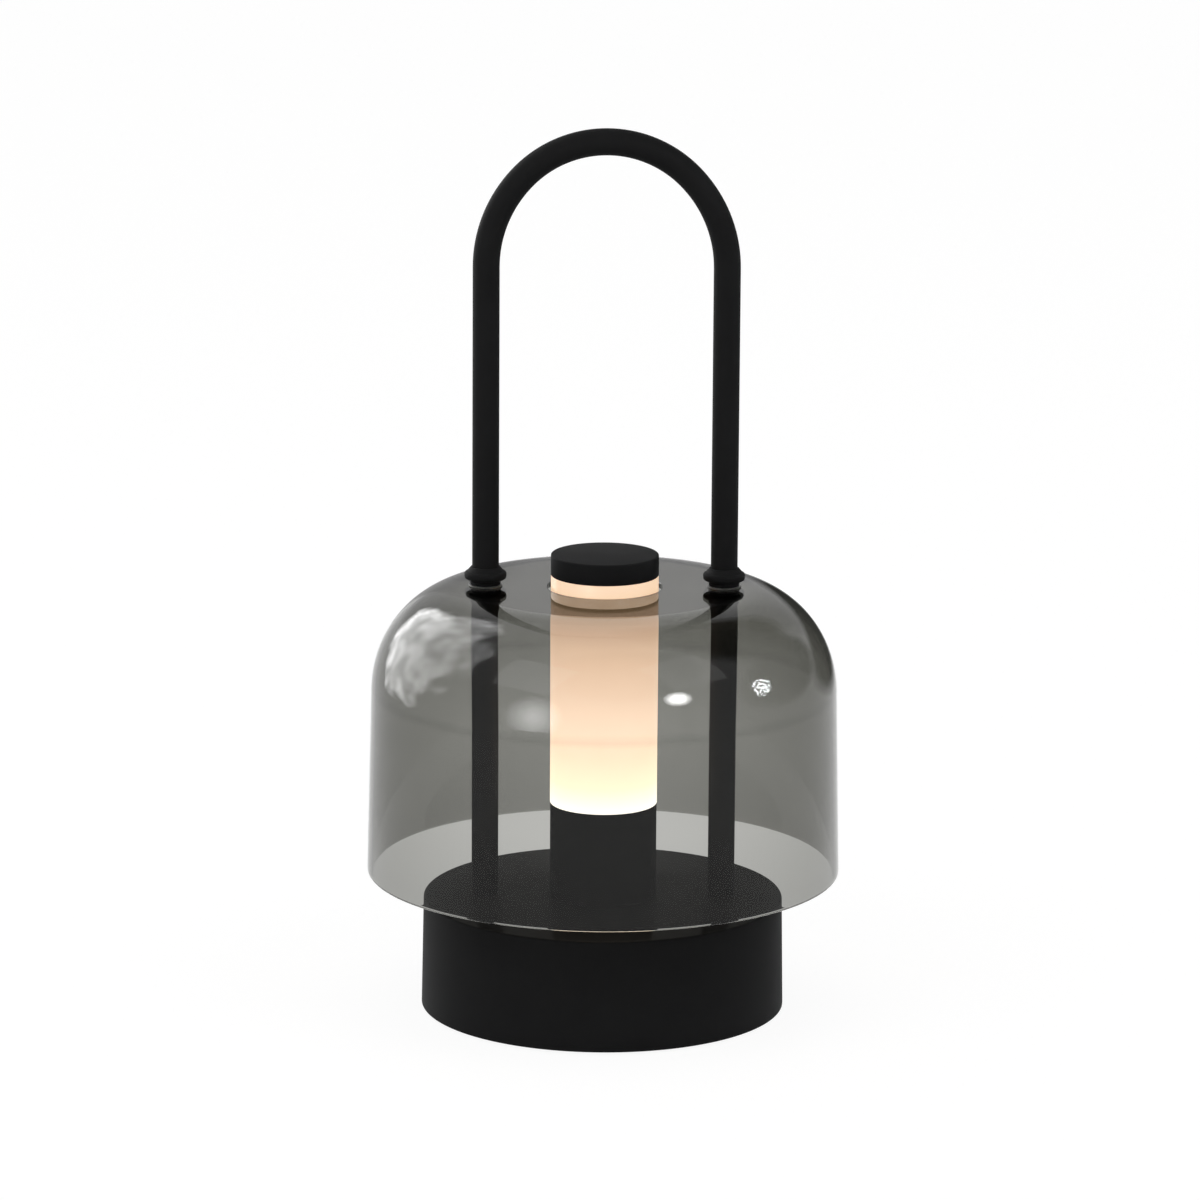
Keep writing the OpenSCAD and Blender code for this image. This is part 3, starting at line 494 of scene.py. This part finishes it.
drum = turned("base_drum", "black_coat", [
    (0, BASE_Z), (BASE_R, BASE_Z, 1.0), (BASE_R + DRAFT, EDGE_Z, 0.4),
    (BASE_R + DRAFT - WALL_T, EDGE_Z, 0.3), (BASE_R - WALL_T + 0.05, BASE_Z - TOP_T, 0.5),
    (0, BASE_Z - TOP_T)], steps=192)
window = bmesh.new()
rim = []
for k in range(PORT_STEPS):
    angle = 2 * math.pi * (k + 0.5) / PORT_STEPS
    rim.append((math.copysign(PORT_SIDE, math.cos(angle)) + PORT_R * math.cos(angle),
                PORT_Z + PORT_R * math.sin(angle)))
front = [window.verts.new((x * MM, CUT_FROM * MM, z * MM)) for x, z in rim]
back = [window.verts.new((x * MM, CUT_TO * MM, z * MM)) for x, z in rim]
window.faces.new(front)
window.faces.new(back)
for k in range(PORT_STEPS):
    window.faces.new((front[k], front[k - 1], back[k - 1], back[k]))
cut_away(drum, window)
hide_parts("base_shell")
print("base faces:", len(drum.data.polygons))

# %% [markdown]
# ## The handle
# One steel tube of 12 mm is bent to a U: two straight legs, and an arch of three bends that
# stands a little higher than a half circle. A curve with a round bevel would be the quick
# way. Sweeping the rings one by one keeps the bends on the CAD's own radii, so that the top
# stays at 401 mm.

# %% Handle
def swept(shape, path, radius, outward, sides=40):
    """Adds a round tube of that radius along a path in one plane, closed at both ends."""
    rings = []
    for point, out in zip(path, outward):
        ring = []
        for k in range(sides):
            angle = 2 * math.pi * k / sides
            offset = out * math.cos(angle) + Vector((0, 1, 0)) * math.sin(angle)
            ring.append(shape.verts.new((point + offset * radius) * MM))
        rings.append(ring)
    for low, high in zip(rings, rings[1:]):
        for k in range(sides):
            shape.faces.new((low[k], low[k - 1], high[k - 1], high[k]))
    shape.faces.new(rings[0])
    shape.faces.new(rings[-1])


LEG_X, TUBE_R, ARCH_Z, RISE, LEG_STEPS = 53.4, 6.0, 338.8, 2.8, 12
SHIFT = RISE / (2 - math.sqrt(2))
HAUNCH_R = LEG_X + SHIFT
CROWN_R = HAUNCH_R - SHIFT * math.sqrt(2)


def bend(centre_x, centre_z, radius, start, end, steps):
    """Adds a bend's centre line and outward directions to the path, from its second point."""
    for k in range(1, steps + 1):
        angle = math.radians(start + (end - start) * k / steps)
        out = Vector((math.cos(angle), 0, math.sin(angle)))
        path.append(Vector((centre_x, 0, centre_z)) + out * radius)
        outward.append(out)


heights = [BASE_Z + (ARCH_Z - BASE_Z) * k / LEG_STEPS for k in range(LEG_STEPS + 1)]
path = [Vector((LEG_X, 0, z)) for z in heights]
outward = [Vector((1, 0, 0))] * len(heights)
bend(-SHIFT, ARCH_Z, HAUNCH_R, 0, 45, 18)
bend(0, ARCH_Z + SHIFT, CROWN_R, 45, 135, 36)
bend(SHIFT, ARCH_Z, HAUNCH_R, 135, 180, 18)
path += [Vector((-LEG_X, 0, z)) for z in reversed(heights[:-1])]
outward += [Vector((-1, 0, 0))] * LEG_STEPS
shape = bmesh.new()
swept(shape, path, TUBE_R, outward)
handle = finished(shape, "tube_handle", "black_coat")
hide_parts("handle_tube")
print("handle top in mm:", round(max(v.co.z for v in handle.data.vertices) * 1000, 2))

# %% [markdown]
# ## The glass bell
# The shade is one closed body: a rounded rim, a straight wall that leans in by two
# millimetres on its way up, an elliptic shoulder and a flat top with three holes. Glass
# needs a real wall, with an outer and an inner face, or the light won't bend as it does. The
# wall has a ring of points right beside each of its ends: without them smooth shading would
# spread the rim's curve over the wall, and the base would look bent through the glass. The
# wall and the shoulder are turned. The flat top has two off-centre holes, so its two faces
# are filled between circles instead.

# %% Glass
SHADE_R, RIM_Z, WALL_R, SHOULDER_Z, SHADE_Z = 106.5, 63.2, 104.6, 146.4, 194.0
FLAT_R, INNER_FLAT_R, GLASS_T, HOLE_R, LEG_HOLE_R, LIP = 61.0, 58.2, 2.5, 25.7, 6.4, 0.2
STEPS, SHOULDER_STEPS, RIM_STEPS, HOLE_STEPS, LEG_HOLE_STEPS = 160, 40, 10, 96, 40
DOWN_THE_WALL = (0.01, 0.25, 0.5, 0.75, 0.993)


def elliptic(middle_r, wall_r, rz, start, end):
    """Points of the shoulder, from one angle to the other, in degrees."""
    turns = [math.radians(start + (end - start) * k / SHOULDER_STEPS)
             for k in range(SHOULDER_STEPS + 1)]
    return [(middle_r + (wall_r - middle_r) * math.cos(a), SHOULDER_Z + rz * math.sin(a))
            for a in turns]


def ring_of(r, z, steps, x=0.0):
    """A level ring of points round an upright axis."""
    return [shape.verts.new(((x + r * math.cos(2 * math.pi * k / steps)) * MM,
                             r * math.sin(2 * math.pi * k / steps) * MM, z * MM))
            for k in range(steps)]


def strip(low, high):
    """Faces between two rings of as many points."""
    for k in range(len(low)):
        shape.faces.new((low[k], low[k - 1], high[k - 1], high[k]))


rim_r = GLASS_T / 2
rim_line = [(SHADE_R - rim_r + rim_r * math.cos(a), RIM_Z + rim_r + rim_r * math.sin(a))
            for a in [math.radians(-180 * k / RIM_STEPS) for k in range(RIM_STEPS + 1)]]
outside = elliptic(FLAT_R, WALL_R, SHADE_Z - SHOULDER_Z, 90, 0)
inside = elliptic(INNER_FLAT_R, WALL_R - GLASS_T, SHADE_Z - SHOULDER_Z - GLASS_T, 0, 90)
wall_out = [(WALL_R + (SHADE_R - WALL_R) * part,
             SHOULDER_Z + (RIM_Z + rim_r - SHOULDER_Z) * part) for part in DOWN_THE_WALL]
wall_in = [(r - GLASS_T, z) for r, z in reversed(wall_out)]

shape = bmesh.new()
rings = [ring_of(r, z, STEPS) for r, z in outside + wall_out + rim_line + wall_in + inside]
for low, high in zip(rings, rings[1:]):
    strip(low, high)


# %% Holes and flat top of the glass
def circle(x, r, z, steps):
    """A ring whose points are joined, as a border for the flat faces."""
    verts = ring_of(r, z, steps, x)
    for k in range(steps):
        shape.edges.new((verts[k - 1], verts[k]))
    return verts


def edges_of(ring):
    return [shape.edges.get((ring[k - 1], ring[k])) for k in range(len(ring))]


top_face, under_face = SHADE_Z, SHADE_Z - GLASS_T
middle = [circle(0, r, z, HOLE_STEPS) for r, z in (
    (HOLE_R + LIP, top_face), (HOLE_R, top_face - LIP), (HOLE_R, under_face + LIP),
    (HOLE_R + LIP, under_face))]
for low, high in zip(middle, middle[1:]):
    strip(low, high)
legs = [[circle(x, LEG_HOLE_R, z, LEG_HOLE_STEPS) for z in (top_face, under_face)]
        for x in (-LEG_X, LEG_X)]
for low, high in legs:
    strip(low, high)
for outer, hole, number in ((rings[0], middle[0], 0), (rings[-1], middle[-1], 1)):
    borders = edges_of(outer) + edges_of(hole)
    borders += [edge for leg in legs for edge in edges_of(leg[number])]
    bmesh.ops.triangle_fill(shape, use_beauty=True, edges=borders)
bell = finished(shape, "glass_bell", "smoked_glass", sharp=40)
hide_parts("glass_shade")
print("glass faces:", len(bell.data.polygons))

# %% [markdown]
# ## Collars and washers
# Each leg carries two collars that pinch the glass between them. A collar is a flange with
# full round edges and a narrow neck, and a small set screw at its back holds it. The upper
# collars stand on their necks and end in a short cone, and the lower ones hold their
# flanges to the glass. A clear washer keeps metal off glass, and shows as a thin pale line.
# One profile serves both: the cone is a few points more.

# %% Collars
COLLAR_R, COLLAR_T, NECK_R, NECK_H, WASHER_T, CONE = 9.4, 3.6, 6.8, 2.4, 0.8, 2.0
BORE_R, SET_HOLE_R, DRILL_FROM, DRILL_LENGTH = 6.05, 1.06, 5.8, 5.0
FLANGE = [(COLLAR_R, 0, 1.2), (COLLAR_R, COLLAR_T, 1.2), (NECK_R, COLLAR_T, 0.35),
          (NECK_R, COLLAR_T + NECK_H, 0.3), (BORE_R, COLLAR_T + NECK_H)]
CONE_POINTS = [(BORE_R, -CONE), (6.6, -CONE, 0.2), (8.3, 0, 0.6)]
FLIP = Matrix.Rotation(math.pi, 4, "X")
TIP_BACK = Matrix.Rotation(math.radians(-90), 4, "X")      # a place's Z then points to +Y


def at(x, y, z=0.0, tilt=Matrix.Identity(4)):
    """A place in millimetres, with a turn if one is given."""
    return Matrix.Translation((x * MM, y * MM, z * MM)) @ tilt


def straight_bar(shape, radius, length, steps, where):
    """A round or many-sided bar along the place's own Z."""
    spin(shape, [(0, 0), (radius, 0), (radius, length), (0, length)], steps, where)


over_z = SHADE_Z + WASHER_T + NECK_H + COLLAR_T
under_z = SHADE_Z - GLASS_T - WASHER_T
for name, node, start, z in (
        ("collars_over", "upper_collars", CONE_POINTS, over_z),
        ("collars_under", "lower_collars", [(BORE_R, 0, 0.25)], under_z)):
    collars = turned(name, "black_coat", start + FLANGE, 72,
                     [at(x, 0, z, FLIP) for x in (-LEG_X, LEG_X)])
    drill = bmesh.new()
    for x in (-LEG_X, LEG_X):
        straight_bar(drill, SET_HOLE_R, DRILL_LENGTH, 24,
                     at(x, DRILL_FROM, z - COLLAR_T / 2, TIP_BACK))
    cut_away(collars, drill)
    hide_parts(node)
screw_heights = [over_z - COLLAR_T / 2, under_z - COLLAR_T / 2]
print("set screws at heights in mm:", [round(z, 2) for z in screw_heights])

# %% Washers
WASHER_R, AIR = 7.6, 0.02
for name, node, foot in (("washers_over", "upper_washers", SHADE_Z),
                         ("washers_under", "lower_washers", SHADE_Z - GLASS_T - WASHER_T)):
    low, high = foot + AIR, foot + WASHER_T - AIR
    washers = turned(name, "clear_silicone", [(BORE_R, low, 0.15), (WASHER_R, low, 0.3),
                                              (WASHER_R, high, 0.3), (BORE_R, high, 0.15)],
                     64, [at(x, 0) for x in (-LEG_X, LEG_X)])
    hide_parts(node)
    print(name, "from", round(low, 2), "to", round(high, 2), "mm")

# %% [markdown]
# ## Screws
# Seen close, a screw is its drive: a hexagon socket with a chamfered mouth. One head is
# turned and its socket cut with a six-sided bar, then the copies go where the solids'
# screws are. The set screws in the collars are headless and sit just under the surface.

# %% Screws
def drive_screws(name, slot, profile, socket_r, depth, places):
    """Screws whose profile's outer face is at height 0, and whose shank goes to +Z."""
    screws = turned(name, slot, profile, 40, places)
    sockets = bmesh.new()
    for where in places:
        straight_bar(sockets, socket_r, depth + 1, 6, where @ at(0, 0, -1))
    return cut_away(screws, sockets, sharp=28)


def around(count, radius, first, z=0.0):
    """That many places on a circle, from a first angle in degrees."""
    angles = [math.radians(first + 360 / count * k) for k in range(count)]
    return [at(radius * math.cos(a), radius * math.sin(a), z) for a in angles]


PLATE_Z, FOOT_CIRCLE, BALLAST_CIRCLE = 1.6, 69.0, 42.0
SHANK_R, SOCKET_R, SOCKET_DEPTH = 1.45, 1.15, 1.1
SUNK_HEAD = [(0, 0), (2.8, 0, 0.12), (SHANK_R, 1.35, 0.1)]
floor_screws = drive_screws("floor_screws", "steel", SUNK_HEAD + [(SHANK_R, 9, 0.3), (0, 9)],
                            SOCKET_R, SOCKET_DEPTH, around(4, FOOT_CIRCLE, 45, PLATE_Z))
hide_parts("plate_screws")
weight_screws = drive_screws("weight_screws", "steel", SUNK_HEAD + [(SHANK_R, 7, 0.3), (0, 7)],
                             SOCKET_R, SOCKET_DEPTH, around(3, BALLAST_CIRCLE, 30, PLATE_Z))
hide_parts("ballast_screws")
set_screws = drive_screws("set_screws", "dark_steel",
                          [(0, 0), (1.0, 0, 0.15), (1.0, 2.8, 0.2), (0, 2.8)], 0.55, 0.8,
                          [at(x, COLLAR_R - 0.4, z, TIP_BACK @ FLIP)
                           for x in (-LEG_X, LEG_X) for z in screw_heights])
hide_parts("collar_screws")
print("screw faces:", [len(s.data.polygons) for s in (floor_screws, weight_screws, set_screws)])

# %% [markdown]
# ## Column, lit tube and cap
# The three stand on one axis and look like one bar: the black column, the glowing opal tube
# and the black cap. What tells them apart is the hairline where they meet and the small
# chamfer on each edge, so the profiles carry those.

# %% Column, tube and cap
COLUMN_R, COLUMN_Z, SEAT_R, SEAT_DEPTH = 24.0, 94.6, 22.1, 4.0
TUBE_OUT, TUBE_IN, TUBE_Z = 24.1, 21.1, 199.4
CAP_R, CAP_H, CAP_PLUG_R, CAP_PLUG_H = 24.2, 9.5, 21.0, 6.0
column = turned("tube_column", "black_coat", [
    (0, BASE_Z), (COLUMN_R, BASE_Z, 0.25), (COLUMN_R, COLUMN_Z, 0.25), (SEAT_R, COLUMN_Z),
    (SEAT_R, COLUMN_Z - SEAT_DEPTH), (0, COLUMN_Z - SEAT_DEPTH)], steps=144)
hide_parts("column")
lit_tube = turned("lit_tube", "opal_diffuser", [
    (TUBE_IN, COLUMN_Z, 0.2), (TUBE_OUT, COLUMN_Z, 0.3), (TUBE_OUT, TUBE_Z, 0.3),
    (TUBE_IN, TUBE_Z, 0.2)], steps=144)
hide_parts("diffuser")
cap = turned("tube_cap", "black_coat", [
    (0, TUBE_Z - CAP_PLUG_H), (CAP_PLUG_R, TUBE_Z - CAP_PLUG_H, 0.3), (CAP_PLUG_R, TUBE_Z),
    (CAP_R, TUBE_Z, 0.3), (CAP_R, TUBE_Z + CAP_H, 0.7), (0, TUBE_Z + CAP_H)], steps=144)
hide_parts("cap")
print("column, tube and cap end at", COLUMN_Z, TUBE_Z, round(TUBE_Z + CAP_H, 1), "mm")

# %% [markdown]
# ## Feet, panel and button
# Four rubber feet keep the drum off the table. Each has a shallow dish that grips, as
# moulded feet do. The panel at the back is a plastic inset that carries the charging inlet
# and the power button. The button's face is dished for a fingertip.

# %% Feet and button
feet = turned("grip_feet", "black_rubber", [
    (0, 0.35), (3.9, 0.35, 0.3), (4.6, 0.0, 0.25), (7.0, 0, 0.5), (7.0, PLATE_Z), (3, PLATE_Z),
    (3, 3.6), (0, 3.6)], 56, around(4, FOOT_CIRCLE, 0))
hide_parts("rubber_feet")

low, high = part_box("button_cap")
reach = (high.y - low.y) / MM
press_place = at((low.x + high.x) / 2 / MM, low.y / MM, PORT_Z, TIP_BACK)
FACE_R, BRIM_R, DISH = 4.6, 6.0, 0.45
dish = [(FACE_R * t, reach - DISH * (1 - (t / 0.8) ** 2)) for t in (0.2, 0.4, 0.6, 0.75)]
button = turned("power_button", "button_plastic", [
    (0, 0), (BRIM_R, 0, 0.15), (BRIM_R, 1.0, 0.15), (FACE_R, 1.0), (FACE_R, reach, 0.4),
    *reversed(dish), (0, reach - DISH)], 64, [press_place], body="button", sharp=25)
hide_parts("button_cap")
print("button reaches", round(reach, 2), "mm")

# %% [markdown]
# ## The solids that stay
# The shapes of the plain inner pieces are right as they are. Each keeps its solid and gets
# its slot's finish, put into the material slots of its own object.

# %% Finishes for the remaining solids
SLOT_OF = {
    "bottom_plate": "plate_coat", "ballast_plate": "ballast_steel", "leg_plugs": "steel",
    "leg_washers": "steel", "leg_nuts": "steel", "column_screws": "steel",
    "light_carrier": "aluminium", "light_board": "white_board", "light_chips": "light_chip",
    "locating_ring": "white_plastic", "cap_ring": "black_rubber",
    "reflector_disc": "white_plastic", "grommet": "black_rubber",
    "port_panel": "black_plastic", "inlet_shell": "inlet_steel",
    "inlet_tongue": "black_plastic", "button_plunger": "white_plastic",
    "switch_body": "black_plastic", "battery_cells": "cell_wrap",
    "battery_cradle": "black_plastic", "cell_tabs": "nickel_tab",
    "control_board": "green_board", "board_parts": "black_plastic",
    "lead_sockets": "white_plastic", "board_standoffs": "brass", "board_screws": "steel",
    "light_lead": "white_lead", "battery_lead": "red_lead",
}
for name, slot in SLOT_OF.items():
    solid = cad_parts[name]
    if not solid.material_slots:
        solid.data.materials.append(None)
    for place in solid.material_slots:
        place.material = FINISHES[slot]
print("solids with a finish of their own:", len(SLOT_OF))

# %% [markdown]
# ## The studio
# The lamp stands on a white table in a white room. To the camera, to mirrors and to glass
# the room is plain white, and to everything else it is a soft grey light, so that nothing
# gets too bright. The floor is paper that also keeps the shadow: most of it is the white
# that the eye sees, and the rest is lit paper.

# %% Room and floor
ROOM_LIGHT, PAPER_WHITE, WHITE_SHARE, FLOOR_HALF = 0.5, 1.11, 0.82, 12


def seen(graph):
    """One where the camera, a reflection or a refraction looks, and nothing elsewhere."""
    camera_ray, glossy, through = [graph.node("ShaderNodeLightPath", out=f"Is {kind} Ray")
                                   for kind in ("Camera", "Glossy", "Transmission")]
    return graph.node("ShaderNodeMath", {"operation": "ADD", "use_clamp": True},
                      {0: camera_ray + glossy, 1: through})


world = bpy.data.worlds.new("white_room")
bpy.context.scene.world = world
world.use_nodes = True
room = Graph(world.node_tree)
soft, white = [room.node("ShaderNodeBackground", None, {"Color": 1, "Strength": strength})
               for strength in (ROOM_LIGHT, 1)]
room.end_in(room.node("ShaderNodeMixShader", None, {0: seen(room), 1: soft, 2: white}))

paper = Finish("white_paper", {"Base Color": 0.82, "Roughness": 0.8, "Specular IOR Level": 0.1})
lit = Wire(paper, paper.shader.outputs[0])
bright = paper.node("ShaderNodeEmission", None, {"Color": 1, "Strength": PAPER_WHITE})
paper.end_in(paper.node("ShaderNodeMixShader", None,
                        {0: seen(paper) * WHITE_SHARE, 1: lit, 2: bright}))
paper.material.cycles.emission_sampling = "NONE"           # it isn't a lamp, so it draws no rays
sheet = bpy.data.meshes.new("paper_floor")
sheet.from_pydata([(-FLOOR_HALF, -FLOOR_HALF, 0), (FLOOR_HALF, -FLOOR_HALF, 0),
                   (FLOOR_HALF, FLOOR_HALF, 0), (-FLOOR_HALF, FLOOR_HALF, 0)], [], [(0, 1, 2, 3)])
sheet.materials.append(paper.material)
floor = bpy.data.objects.new("paper_floor", sheet)
bpy.context.scene.collection.objects.link(floor)
print("floor of", 2 * FLOOR_HALF, "m")

# %% [markdown]
# ## The lamps of the studio
# Two big soft boxes, high on the left and on the right, light the lamp evenly. Glass and
# gloss also need something to mirror, and in a photograph of glass that is most of the
# look. Grey cards behind, above and on the right keep the shoulder and the flat top from
# turning milky, and two close ones, one dark and one dim, draw lines on the two sides. Near
# on the left stands a bright card behind a cut screen, so noise dapples it and makes its
# edge ragged. Small bright cards make the glints. All fade out at their edges, as a soft box
# seen in blown glass does, and they light nothing: only reflections see them.

# %% Soft boxes
SHADE_MIDDLE = Vector((0, 0, 0.162))
BOX_SIZE, BOX_DISTANCE = 1.6, 3.1


def facing(thing, towards, distance):
    """Stands a thing in that direction from the shade, looking at it."""
    direction = Vector(towards).normalized()
    thing.location = SHADE_MIDDLE + direction * distance
    thing.rotation_euler = direction.to_track_quat("Z", "Y").to_euler()


for name, towards, level in (("soft_left", (-1.0, -0.9, 1.5), 1.6),
                             ("soft_right", (1.1, -0.7, 1.6), 1.2)):
    light = bpy.data.lights.new(name, "AREA")
    light.shape, light.size, light.size_y = "RECTANGLE", BOX_SIZE, BOX_SIZE
    light.energy = level * BOX_SIZE * BOX_SIZE * math.pi
    box = bpy.data.objects.new(name, light)
    bpy.context.scene.collection.objects.link(box)
    facing(box, towards, BOX_DISTANCE)
    box.visible_camera = box.visible_transmission = False
    print(name, "watts:", round(light.energy, 1))


# %% Cards that reflections see
def mirror_card(name, towards, distance, size, radiance, fade, colour=(1, 1, 1), screen=None):
    """A glowing card with soft edges. Fade is the part of its half width that fades.

    A cut screen in front makes it ragged: how many cuts stand on a metre, how far they reach
    in, between which two values the dapple goes from dark to bright, and how much light the
    dark keeps.
    """
    width, height = size[0] / 2, size[1] / 2
    sheet = bpy.data.meshes.new(name)
    sheet.from_pydata([(-width, -height, 0), (width, -height, 0), (width, height, 0),
                       (-width, height, 0)], [], [(0, 1, 2, 3)])
    skin = Finish(name, {"Base Color": 0, "Specular IOR Level": 0, "Roughness": 1,
                         "Emission Color": colour, "Emission Strength": radiance})
    from_middle = skin.length(skin.place() * (1 / width, 1 / height, 0))
    if screen:
        scale, ragged, low, high, least = screen
        from_middle = from_middle + (skin.noise(scale, detail=4) - 0.5) * ragged
        dapple = skin.ramp(skin.noise(scale * 1.4, detail=1), low, high, least, 1)
        skin.set({"Emission Color": skin.blend(dapple, (0, 0, 0), colour)})
    skin.set({"Alpha": skin.ramp(from_middle, 1.0, 1.0 - fade)})
    skin.material.cycles.emission_sampling = "NONE"
    sheet.materials.append(skin.material)
    card = bpy.data.objects.new(name, sheet)
    bpy.context.scene.collection.objects.link(card)
    facing(card, towards, distance)
    for kind in ("camera", "diffuse", "transmission", "volume_scatter", "shadow"):
        setattr(card, "visible_" + kind, False)
    print(name, "stands at", [round(v, 2) for v in card.location])


mirror_card("glint_front", (0.560, -0.690, 0.458), 3.0, (0.78, 0.74), 75, 0.8)
mirror_card("glint_side", (0.948, -0.035, 0.317), 3.0, (0.68, 0.68), 60, 0.35, (0.93, 0.97, 1),
            screen=(7.0, 2.6, 0.46, 0.54, 0.05))
mirror_card("glint_patch", (-0.559, -0.811, 0.173), 3.0, (1.6, 2.2), 18, 1.0)
mirror_card("window_left", (-0.796, 0.449, 0.436), 1.01, (1.4, 1.3), 7.5, 0.28,
            screen=(2.8, 1.3, 0.4, 0.6, 0.55))
mirror_card("line_left", (-0.173, 0.981, 0.087), 0.75, (0.2, 0.45), 0.5, 0.3)
mirror_card("card_behind", (0, 1, 0.42), 3.6, (5.4, 3.0), 0.68, 0.25)
mirror_card("card_near", (0.515, 0.857, 0.02), 0.75, (0.83, 0.36), 0.02, 0.35)
mirror_card("card_corner", (0.492, 0.413, 0.766), 3.4, (3.8, 3.8), 0.1, 0.35, (1, 0.9, 0.7))
mirror_card("card_right", (1, 0.3, 0.34), 3.7, (5.0, 2.6), 0.12, 0.25)
mirror_card("card_above", (0.15, -0.55, 0.9), 3.8, (5.2, 4.4), 0.15, 0.25)

# %% View transform
bpy.context.scene.view_settings.view_transform = "Standard"
bpy.context.view_layer.update()
